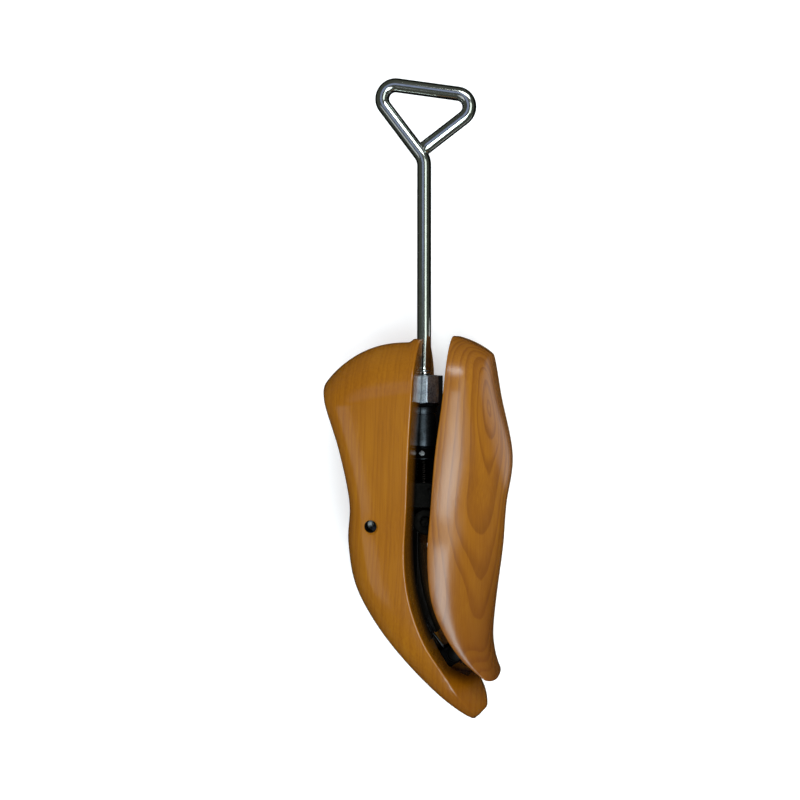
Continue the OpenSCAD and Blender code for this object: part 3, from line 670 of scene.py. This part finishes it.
# ground hardened steel of the thrust ball: bright and nearly polished
GROUND_STEEL = metal("ground hardened steel", "#c3c4c5", "#a5a7a8", 0.18,
                     (1.5, 1.5, 6.0), 0.05, 0.06)
# wood screws, blued by heat: a dark blue-grey with a soft shine
BLUED_STEEL = metal("blued screw steel", "#33343a", "#1a1b1f", 0.34, (2.0, 2.0, 2.0), 0.1, 0.1)
# grub screw, zinc plated: the one small bright dot on the dark collar
SCREW_STEEL = metal("zinc-plated screw steel", "#8a8c8e", "#6a6b6c", 0.34,
                    (2.0, 2.0, 2.0), 0.1, 0.1)
# hard-drawn spring wire, dulled by old oil
SPRING_WIRE = metal("oiled hard-drawn spring wire", "#4d4e50", "#333435", 0.3,
                    (4.0, 4.0, 4.0), 0.05, 0.08)


# Wooden halves as pieces.

sole_form = add_solid("sole_form", [wood_half(SOLE, True, RIDGE)])
cut(sole_form, [
    groove_cutter("sole_groove", SOLE, True, SOLE_FLOOR, -0.35, 8.2),
    box_cutter("sole_pocket", (-9.55, -5.7, -GROOVE_HALF), (20, 24, GROOVE_HALF), in_hinge=True),
    plug_cutter("plug_hole_a", 1), plug_cutter("plug_hole_b", -1),
])
finish_piece(sole_form, "sole", "lacquered_wood", ["sole_half"], WOOD_SOLE, sharp=38)
instep_form = add_solid("instep_form", [wood_half(INSTEP, False)])
cut(instep_form, [
    groove_cutter("instep_groove", INSTEP, False, INSTEP_FLOOR, 1.46, 7.9),
    box_cutter("instep_pocket", (-20, -5.7, -GROOVE_HALF), (9.55, 23.5, GROOVE_HALF), in_hinge=True),
])
finish_piece(instep_form, "instep", "lacquered_wood", ["instep_half"], WOOD_INSTEP, sharp=38)


# Drive rod.

ROD_R, NOSE_Y = 3.7, -83.5
THREAD_START, THREAD_END, THREAD_DEPTH = -77.2, -16, 0.6
# corners of the grip, where its last point is the rod's free end, and the bends' radii
STEM_END = 84
GRIP = np.array([[0, 93.4], [-31.6, 135.1], [34.4, 124.3], [-0.5, 98.6]])
GRIP_BENDS = [10, 7, 7]


def rod_rows():
    """Centre, side vector, radius and share of the thread's depth for each ring of the rod,
    from its nose, past the swivel's groove and the thread, to the free end of the grip."""
    rows = [(NOSE_Y, 0), (NOSE_Y, 2.6), (NOSE_Y + 0.15, 3.05), (NOSE_Y + 0.5, 3.3),
            (SWIVEL_Y - 1.25, 3.3), (SWIVEL_Y - 1.2, 2.6), (SWIVEL_Y + 1.2, 2.6),
            (SWIVEL_Y + 1.25, 3.3), (THREAD_START - 0.4, 3.35)]
    straight = [(np.array([0, y]), np.array([1.0, 0]), r, 0) for y, r in rows]
    y = np.arange(THREAD_START, THREAD_END, 0.22)
    fade = np.clip((y - THREAD_START) / 1.5, 0, 1) * np.clip((THREAD_END - 0.2 - y) / 3, 0, 1)
    straight += [(np.array([0, v]), np.array([1.0, 0]), ROD_R, f) for v, f in zip(y, fade)]
    path = [np.array([0, v]) for v in np.linspace(THREAD_END + 1, STEM_END, 24)]
    corners = np.vstack([[0, STEM_END], GRIP])
    for before, corner, after, bend in zip(corners[:-2], corners[1:-1], corners[2:], GRIP_BENDS):
        arc = corner_arc(before, corner, after, bend)
        path += [path[-1] + (arc[0] - path[-1]) * s for s in np.linspace(0, 1, 9)[1:-1]]
        path += arc
    path += [path[-1] + (corners[-1] - path[-1]) * s for s in np.linspace(0, 1, 10)[1:]]
    path = np.array(path)
    along = unit(np.gradient(path, axis=0))
    side = np.column_stack([along[:, 1], -along[:, 0]])
    rest = [(p, s, ROD_R, 0) for p, s in zip(path[:-1], side)]
    # the free end is rounded over its last half millimetre
    rest += [(path[-1] - along[-1] * left, side[-1], r, 0) for left, r in (
        (0.5, ROD_R), (0.35, 3.62), (0.15, 3.45), (0, 3.1), (0, 0))]
    return straight + rest


def bent_rod():
    """The rod's rings, joined. The radius is R - depth * (1.25 tooth - 0.1), kept from 0 to
    the depth, where tooth is |2 frac(y / pitch + angle / turn) - 1|."""
    rows = rod_rows()
    centre = np.array([r[0] for r in rows])
    side = np.array([r[1] for r in rows])
    radius = np.array([r[2] for r in rows], float)[:, None]
    depth = np.array([r[3] for r in rows], float)[:, None] * THREAD_DEPTH
    a = np.linspace(0, 2 * math.pi, 56, endpoint=False)[None]
    turn = centre[:, 1:2] / PITCH + a / (2 * math.pi)
    tooth = np.abs(2 * (turn - np.floor(turn)) - 1)
    radius = radius - depth * np.clip(1.25 * tooth - 0.1, 0, 1)
    flat = centre[:, None] + (radius * np.cos(a))[..., None] * side[:, None]
    return grid(np.concatenate([flat, (radius * np.sin(a))[..., None]], -1))


add_piece("bent_rod", [bent_rod()], "spindle", "polished_rod", ["drive_rod"], DRAWN_STEEL, sharp=50)


# Nut, sleeve and locking collar.

def hex_nut():
    """Hexagon whose radius at an angle is its half width times (sum of cosines^m)^(-1/m),
    which softens its corners, cut by the cones of its chamfered ends: the soft least of the
    two is -log(exp(-k r1) + exp(-k r2)) / k. A plain neck stands below it."""
    top, height, chamfer, half, bore, m, k = -20.1, 14.8, 1.2, 7.0, 3.78, 90, 9
    bottom = top - height
    a = np.linspace(0, 2 * math.pi, 192, endpoint=False)
    flats = math.radians(39) + np.arange(6) * math.pi / 3
    hexagon = half * np.sum(np.clip(np.cos(a[:, None] - flats), 1e-6, 1) ** m, 1) ** (-1 / m)
    rows = [(bore, top - 0.6), (bore + 0.1, top - 0.25), (bore + 0.5, top), (6.4, top),
            (6.75, top - 0.03)]
    near = np.linspace(0.08, chamfer, 10)
    for level in [*near, *np.linspace(chamfer, height - chamfer, 6)[1:-1], *(height - near[::-1])]:
        cone = 6.85 + min(level, height - level) * 1.75
        soft = -np.log(np.exp(-hexagon * k) + np.exp(-cone * k)) / k
        rows.append((np.minimum(soft, np.minimum(hexagon, cone)), top - level))
    rows += [(6.75, bottom + 0.03), (6.4, bottom), (5.6, bottom), (5.5, bottom - 0.1),
             (5.5, bottom - 2.2), (bore, bottom - 2.2)]
    rings = [np.insert(circle(r, a), 1, y, 1) for r, y in rows]
    return grid(np.stack(rings), round_rows=True)


add_piece("hex_nut", [hex_nut()], "sole", "bright_nut", ["drive_nut"], ZINC_PLATE, sharp=50)
sleeve_profile = rounded([
    (5.52, -36.72), (6.95, -36.72), (6.95, -39.85), (6.15, -39.95), (6.15, -40.7), (6.65, -40.85),
    (6.65, -57.2), (5.7, -58.25), (5.88, -58.4), (5.88, -64.4), (3.8, -64.4), (3.8, -43), (5.52, -43),
], 0.25)
add_piece("threaded_sleeve", [lathe(sleeve_profile, (0, 0, 0), "y", 96, closed=True)],
          "sole", "dark_sleeve", ["nut_sleeve"], BLACK_OXIDE, sharp=50)
collar_profile = rounded([(5.92, -58.35), (7.55, -58.35), (7.55, -63.85), (5.92, -63.85)], 0.4)
GRUB_Y = -61.1
grub_hole = add_solid("grub_hole", [lathe(
    [(0, 5), (1.52, 5), (1.52, 7.2), (2.4, 8.2), (0, 8.2)], (0, GRUB_Y, 0), "z", 40)])
add_piece("locking_collar", [lathe(collar_profile, (0, 0, 0), "y", 96, closed=True)],
          "sole", "dark_sleeve", ["lock_collar"], BLACK_SHEET, cutters=[grub_hole], sharp=40)
grub_slot = add_solid("grub_slot", [slab(
    [(-3, GRUB_Y - 0.3), (3, GRUB_Y - 0.3), (3, GRUB_Y + 0.3), (-3, GRUB_Y + 0.3)], 6.6, 9, 0.05)])
grub_profile = [(0, 5.95), (1.35, 5.95), (1.49, 6.1), (1.49, 6.75), (1.3, 6.95), (0.7, 7.02),
                (0, 7.03)]
add_piece("grub_screw", [lathe(grub_profile, (0, GRUB_Y, 0), "z", 40)],
          "sole", "screw_steel", ["collar_screw"], SCREW_STEEL, cutters=[grub_slot], sharp=40)


# Channel, ramp and wood screws.

def slotted_screw(length):
    """Countersunk wood screw along +X from its head's rim at the origin, with a low crown."""
    r, crown = 3.15, 0.12
    profile = [(0, -crown), (r * 0.5, -crown * 0.75), (r * 0.9, -crown * 0.2), (r, 0), (r, 0.12),
               (1.7, 2.1), (1.7, 5.0)]
    for y in np.arange(5.0, length - 2, 0.75):
        profile += [(1.2, y + 0.2), (1.66, y + 0.5), (1.62, y + 0.6)]
    profile += [(1.2, length - 2), (0, length)]
    return lathe(profile, (0, 0, 0), "x", 40)


def screw_slot(turn):
    """Cutter for the slot across a screw head, turned by an angle about the screw."""
    half, depth = 0.425, 0.85
    points, faces = slab([(-2, -half), (depth, -half), (depth, half), (-2, half)], -4, 4, 0.05)
    c, s = math.cos(turn), math.sin(turn)
    spin = np.array([[1, 0, 0], [0, c, -s], [0, s, c]])
    return points @ spin.T, faces


def screw_group(name, spots, length, body, nodes, hinge_frame=False):
    """Screws at spots (x, y, direction along X, turn of the slot), as one piece."""
    screws, slots = [], []
    for x, y, way, turn in spots:
        for part, group in ((slotted_screw(length), screws), (screw_slot(turn), slots)):
            made = (part[0] * [way, 1, 1] + [x, y, 0], part[1])
            group.append(hinged(made) if hinge_frame else made)
    return add_piece(name, screws, body, "blued_screw", nodes, BLUED_STEEL,
                     cutters=[add_solid(name + "_slots", slots)])


def hole_plate(y_low, y_high, x_low, x_high, half, bore, corner, edge):
    """Upright plate across the rod with a round hole: rings run from the hole out to a
    rounded rectangle and back on its other face."""
    outline = rounded([(x_low, -half), (x_high, -half), (x_high, half), (x_low, half)],
                      corner, steps=8)
    angle = np.arctan2(outline[:, 1], outline[:, 0])
    outline = outline[np.argsort(angle)]
    fine = np.concatenate([np.linspace(a, b, 6, endpoint=False)
                           for a, b in zip(outline, np.roll(outline, -1, 0))])
    inner = unit(fine)
    shrink = 1 - edge / np.linalg.norm(fine, axis=1)[:, None]
    rings = [(inner * bore, y_low), (fine * shrink, y_low),
             (fine * (1 + shrink) / 2, y_low + edge * 0.3), (fine, y_low + edge),
             (fine, y_high - edge), (fine * (1 + shrink) / 2, y_high - edge * 0.3),
             (fine * shrink, y_high), (inner * bore, y_high)]
    points = np.stack([np.column_stack([p[:, 0], np.full(len(p), y), p[:, 1]]) for p, y in rings])
    return grid(points, round_rows=True)


trough = rounded([(-12.5, -PLATE_HALF), (-5.05, -PLATE_HALF), (-5.05, -6.95), (-10.3, -6.95),
                  (-10.3, 6.95), (-5.05, 6.95), (-5.05, PLATE_HALF), (-12.5, PLATE_HALF)],
                 [1.6, 0.5, 0.5, 0.7, 0.7, 0.5, 0.5, 1.6])
channel_parts = [
    turned(slab(trough, -137.95, -35.2, 0.25), (0, 2, 1)),
    hole_plate(-36.65, -35.0, -12.45, 7.35, PLATE_HALF, 5.6, 2.2, 0.35),
]
add_piece("pressed_channel", channel_parts, "sole", "black_frame", ["sole_channel"],
          BLACK_SHEET, weighted=True)
screw_group("channel_wood_screws", [(-10.28, y, -1, turn) for y, turn in
                                    ((-48, 0.3), (-72, 1.1), (-104, -0.5), (-130, 0.8))],
            16, "sole", ["channel_screws"])


def ramp_line():
    """Points where the roller bears on the ramp: its centre, seen from the swinging half as
    the carriage moves, set off by its radius and the running gap."""
    gap = 0.25
    s = np.linspace(-12.5, 23.5, 40)

    def centre(travel):
        angle = np.radians(travel / PITCH * SWING_PER_TURN)
        x, y = ROLLER_X - HINGE[0], ROLLER_Y - travel - HINGE[1]
        return np.stack([HINGE[0] + x * np.cos(angle) - y * np.sin(angle),
                         HINGE[1] + x * np.sin(angle) + y * np.cos(angle)], 1)

    step = centre(s + 0.05) - centre(s - 0.05)
    side = unit(np.stack([-step[:, 1], step[:, 0]], 1))
    return centre(s) + side * (ROLLER_R + gap)


line = ramp_line()
rail = np.vstack([line, [[17.6, line[-1, 1] - 1.2], [17.6, line[0, 1] + 1.2]]])
plate = rounded([(17.3, -141.9), (19.5, -141.9), (19.5, -60.1), (17.3, -60.1)], 0.5)
add_piece("ramp_bar", [slab(rail, -3.75, 3.75, 0.45), slab(plate, -PLATE_HALF, PLATE_HALF, 0.5)],
          "instep", "black_frame", ["ramp_plate"], BLACK_SHEET, weighted=True)
screw_group("ramp_wood_screws", [(17.28, y, 1, turn) for y, turn in
                                 ((-65, 0.9), (-74, -0.2), (-128, 0.4), (-137, 1.3))],
            15, "instep", ["ramp_screws"])


# Carriage and roller.

BLOCK_HALF = 6.65
cheek = rounded([(-10.05, -76.6), (4.55, -76.6), (4.55, -99), (1, -102.4), (-10.05, -102.4)],
                [0.6, 0.6, 5, 2.5, 0.8])
back_plate = rounded([(-10.05, -76.6), (5.75, -76.6), (5.75, -89.9), (-10.05, -89.9)],
                     [0.8, 1.2, 0.6, 0.6])
block_parts = [slab(back_plate, -BLOCK_HALF, BLOCK_HALF, 0.5), slab(cheek, 4.3, BLOCK_HALF, 0.45),
               slab(cheek, -BLOCK_HALF, -4.3, 0.45)]
socket_cutter = add_solid("socket", [lathe(
    [(0, -88.4), (3.8, -88.4), (3.8, -77.1), (5.2, -75.7), (0, -75.7)], (0, 0, 0), "y", 56)])
add_piece("milled_carriage", block_parts, "carriage", "carriage_steel", ["carriage_block"],
          BLACK_BLOCK, cutters=[socket_cutter], weighted=True)
ball_profile = circle(2.48, np.linspace(-math.pi / 2, math.pi / 2, 25))
add_piece("bearing_ball", [lathe(ball_profile, (0, -86.0, 0), "y", 40)],
          "carriage", "ground_steel", ["thrust_ball"], GROUND_STEEL)


def riveted_pin(x, y, r):
    """Round pin across the block, with both ends peened over to a low crown and dimpled."""
    end, crown = BLOCK_HALF + 0.2, 0.35
    profile = [(0, crown * 0.4 - end), (r * 0.3, crown * 0.25 - end), (r * 0.45, -end),
               (r * 0.8, crown * 0.25 - end), (r, crown - end)]
    profile += [(a, -b) for a, b in profile[::-1]]
    return lathe(profile, (x, y, 0), "z", 40)


add_piece("swivel_cross_pins", [riveted_pin(x, SWIVEL_Y, 1.1) for x in (-3.85, 3.85)],
          "carriage", "greased_steel", ["swivel_pins"], GREASED_SHADED_STEEL)
add_piece("axle_pin", [riveted_pin(ROLLER_X, ROLLER_Y, 2.5)],
          "carriage", "greased_steel", ["roller_axle"], GREASED_SHADED_STEEL)
roller_profile = rounded([(2.56, -3.98), (6.4, -3.98), (ROLLER_R, -3.4), (ROLLER_R, 3.4),
                          (6.4, 3.98), (2.56, 3.98)], 0.3)
add_piece("ramp_roller", [lathe(roller_profile, (ROLLER_X, ROLLER_Y, 0), "z", 96, closed=True)],
          "roller", "greased_steel", ["roller"], GREASED_SHADED_STEEL, sharp=50)


# Toe hinge.

def leaf(way, ear):
    """Hinge leaf in the hinge's frame: a plate on one side of the pin, and two rounded ears
    that stand up round the pin."""
    side = (7.5, 9.5) if way > 0 else (-9.5, -7.5)
    plate = rounded([(side[0], -5.55), (side[1], -5.55), (side[1], 21.95), (side[0], 21.95)], 0.5)
    r = 4.95
    ear_line = circle(r, np.linspace(-math.pi / 2, math.pi / 2, 25)) * [-way, 1]
    ear_line = np.vstack([ear_line, [[way * 8.2, r], [way * 8.2, -r]]])
    parts = [slab(plate, -PLATE_HALF, PLATE_HALF, 0.6)]
    for low, high in (ear, (-ear[1], -ear[0])):
        parts.append(slab(ear_line, low + 0.03, high - 0.03, 0.35))
    return [hinged(p) for p in parts]


add_piece("hinge_leaf_sole", leaf(-1, (6.3, 8.4)), "sole", "black_frame", ["sole_hinge_leaf"],
          BLACK_SHEET, weighted=True)
add_piece("hinge_leaf_instep", leaf(1, (3.9, 6.1)), "instep", "black_frame",
          ["instep_hinge_leaf"], BLACK_SHEET, weighted=True)
screw_group("leaf_screws_sole", [(-7.48, 9.5, -1, 0.5), (-7.48, 18, -1, -0.3)], 8.5,
            "sole", ["sole_leaf_screws"], True)
screw_group("leaf_screws_instep", [(7.48, 9.5, 1, 0.2), (7.48, 18, 1, 1.0)], 8.5,
            "instep", ["instep_leaf_screws"], True)
pin_profile = [(0, -9.68), (1.9, -9.68), (2.3, -9.5), (2.3, -8.75), (2.45, -8.7), (2.45, 8.45),
               (3.9, 8.47), (3.98, 8.6), (3.7, 9.2), (2.4, 9.55), (0, 9.62)]
add_piece("toe_pin", [hinged(lathe(pin_profile, (0, 0, 0), "z", 56))],
          "sole", "black_frame", ["hinge_pin"], BLACK_BLOCK, sharp=40)
open_ring = np.linspace(0.42, 2 * math.pi - 0.42, 60)
clip_line = np.vstack([circle(4.15, open_ring), circle(2.4, open_ring[::-1])])
add_piece("open_clip", [hinged(slab(clip_line, -9.25, -8.7, 0.12))],
          "sole", "spring_steel", ["pin_clip"], SPRING_WIRE)


def spring_path():
    """Leg from the sole leaf, three and a half turns round the pin, and a leg to the other
    leaf; the coil is radius * (cos, sin) of the angle while z falls by one pitch a turn."""
    r, top, turns, leg = 3.7, 2.8, 3.5, 1.8
    share = np.linspace(0, 1, 220)
    coil = np.column_stack([circle(r, math.pi + 2 * math.pi * turns * share), top * (1 - 2 * share)])
    first = [(-8.6, 14, top), (-6.6, 14, top), (-5.9, 13.7, top), (-5.5, 13, top)]
    first += [(-r - leg * (1 - s), 13 * (1 - s), top) for s in np.linspace(0.1, 0.95, 10)]
    last = [(r + leg * s, 13 * s, -top) for s in np.linspace(0.05, 0.95, 10)]
    last += [(5.5, 13, -top), (5.9, 13.7, -top), (6.6, 14, -top), (9.6, 14, -top)]
    return np.array(first + coil.tolist() + last)


add_piece("torsion_spring", [hinged(tube(spring_path(), 0.54))],
          "sole", "spring_steel", ["return_spring"], SPRING_WIRE)


# Table, lights and camera.

TABLE_Z = -HALF_WIDE - 0.1


def table_top():
    """Wide flat sheet under the object."""
    x, y = np.meshgrid(np.linspace(-3000, 3000, 9), np.linspace(-3000, 3000, 9))
    return grid(np.stack([x, y, np.full_like(x, TABLE_Z)], -1), round_columns=False)


# white acrylic sheet, lit a little from below so that shadows on it stay faint
acrylic = new_material("lit white acrylic table", **{
    "Base Color": linear("#f4f4f4"), "Roughness": 0.9, "Emission Color": linear("#ffffff"),
    "Emission Strength": 0.25})[0]
floor = add_solid("table", [table_top()])
floor.data.materials.append(acrylic)
floor.visible_glossy = False
# narrow black sheet on the table, hidden under the nut, sleeve, thread and carriage: painted shade,
# which keeps the lit table from shining up through the gap between the two halves
shade_sheet = new_material("black felt", **{"Base Color": linear("#060606"), "Roughness": 1.0})[0]
strip = add_solid("shade_sheet", [slab(
    [(-5, -114), (4.5, -114), (4.5, -21), (-5, -21)], TABLE_Z + 0.05, TABLE_Z + 0.15, 0.02)])
strip.data.materials.append(shade_sheet)


def stand(name, data, location, right, back):
    """Light or camera at a place in the maker's millimetres, looking away from back."""
    made = add_object(name, data)
    made.location = place(location)[0]
    made.rotation_mode = "QUATERNION"
    axes = np.column_stack([right, np.cross(back, right), back])
    made.rotation_quaternion = Matrix(axes.tolist()).to_quaternion()
    return made


def add_light(name, location, target, size, power, colour="#ffffff"):
    """Soft rectangular light that faces a target; places are in the maker's millimetres."""
    data = bpy.data.lights.new(name, "AREA")
    data.shape, data.size, data.size_y = "RECTANGLE", size[0] / 1000, size[1] / 1000
    data.energy, data.color = power, linear(colour)[:3]
    back = unit(np.subtract(location, target))
    return stand(name, data, location, unit(np.cross([0, 1, 0], back)), back)


def around(target, angle, lift, distance):
    """Point at a distance from a target, at an angle from straight above it towards +X and
    lifted towards +Y."""
    a, b = math.radians(angle), math.radians(lift)
    way = np.array([math.sin(a) * math.cos(b), math.sin(b), math.cos(a) * math.cos(b)])
    return way * distance + target


# the key makes the broad sheen down the instep half, and the hair light the band near its top
instep_line, heel_end, grip, middle = (20, -95, 20), (20, -20, 20), (0, 100, 0), (0, -60, 0)
add_light("key", around(instep_line, 14.5, -19, 1100), instep_line, (500, 740), 9.0, "#ecfbff")
add_light("hair", around(heel_end, 22, 43, 1100), heel_end, (640, 260), 5.6, "#f4fbff")
# the strip is what the rod mirrors along its whole length, and the sky what the grip does
add_light("strip", (631, 150, 901), grip, (460, 600), 1.7, "#f4fff8")
add_light("sky", around(grip, -12, 13, 1300), grip, (650, 600), 0.6, "#b8c8ff")
add_light("fill", around(middle, -36, -15, 1300), middle, (640, 640), 1.1, "#f0f4ff")
# pale card lying beside the instep half, for the rim along its edge
card = add_light("card", (200, -40, -37), (200, -40, 100), (260, 100), 0.06)
card.visible_camera = False

world = bpy.data.worlds.new("pale studio")
bpy.context.scene.world = world
world.use_nodes = True
sky = world.node_tree
sky.nodes.clear()
rays = add(sky, "ShaderNodeLightPath")
soft = add(sky, "ShaderNodeBackground", {"Color": linear("#ffffff"), "Strength": 0.55})
# what steel and lacquer mirror: a dim room, and nearly black below the table's level
level = add(sky, "ShaderNodeTexCoord").outputs["Generated"]
level = add(sky, "ShaderNodeSeparateXYZ", {0: level}).outputs["Z"]
level = add(sky, "ShaderNodeMapRange", {"Value": level, "From Min": -0.12, "From Max": 0.03})
room = add(sky, "ShaderNodeMix", {0: level, 6: linear("#141512"), 7: linear("#50544c")},
           data_type="RGBA").outputs[2]
dark = add(sky, "ShaderNodeBackground", {"Color": room, "Strength": 0.9})
white = add(sky, "ShaderNodeBackground", {"Color": linear("#ffffff"), "Strength": 1.0})
glossy = add(sky, "ShaderNodeMixShader", {0: rays.outputs["Is Glossy Ray"], 1: soft,
                                          2: dark})
seen = add(sky, "ShaderNodeMixShader", {0: rays.outputs["Is Camera Ray"], 1: glossy,
                                        2: white})
add(sky, "ShaderNodeOutputWorld", {"Surface": seen})


def photograph_camera():
    """Camera 10 degrees off straight above towards the instep and 2 towards the grip, 800 mm
    away; 0.53 mm of the object covers one pixel of an image 800 pixels wide."""
    angle, lift, distance, scale, pixels = 10, 2, 800, 0.53, 800
    turn = math.radians(angle)
    target = np.array([-24 * scale / math.cos(turn), -63 * scale, 0])
    location = around(target, angle, lift, distance)
    data = bpy.data.cameras.new("photograph")
    data.sensor_width = 36
    data.lens = data.sensor_width * distance / scale / pixels
    data.clip_end = 20
    return stand("photograph", data, location, [math.cos(turn), 0, -math.sin(turn)],
                 (location - target) / distance)


bpy.context.scene.camera = photograph_camera()
bpy.context.scene.view_settings.view_transform = "Standard"
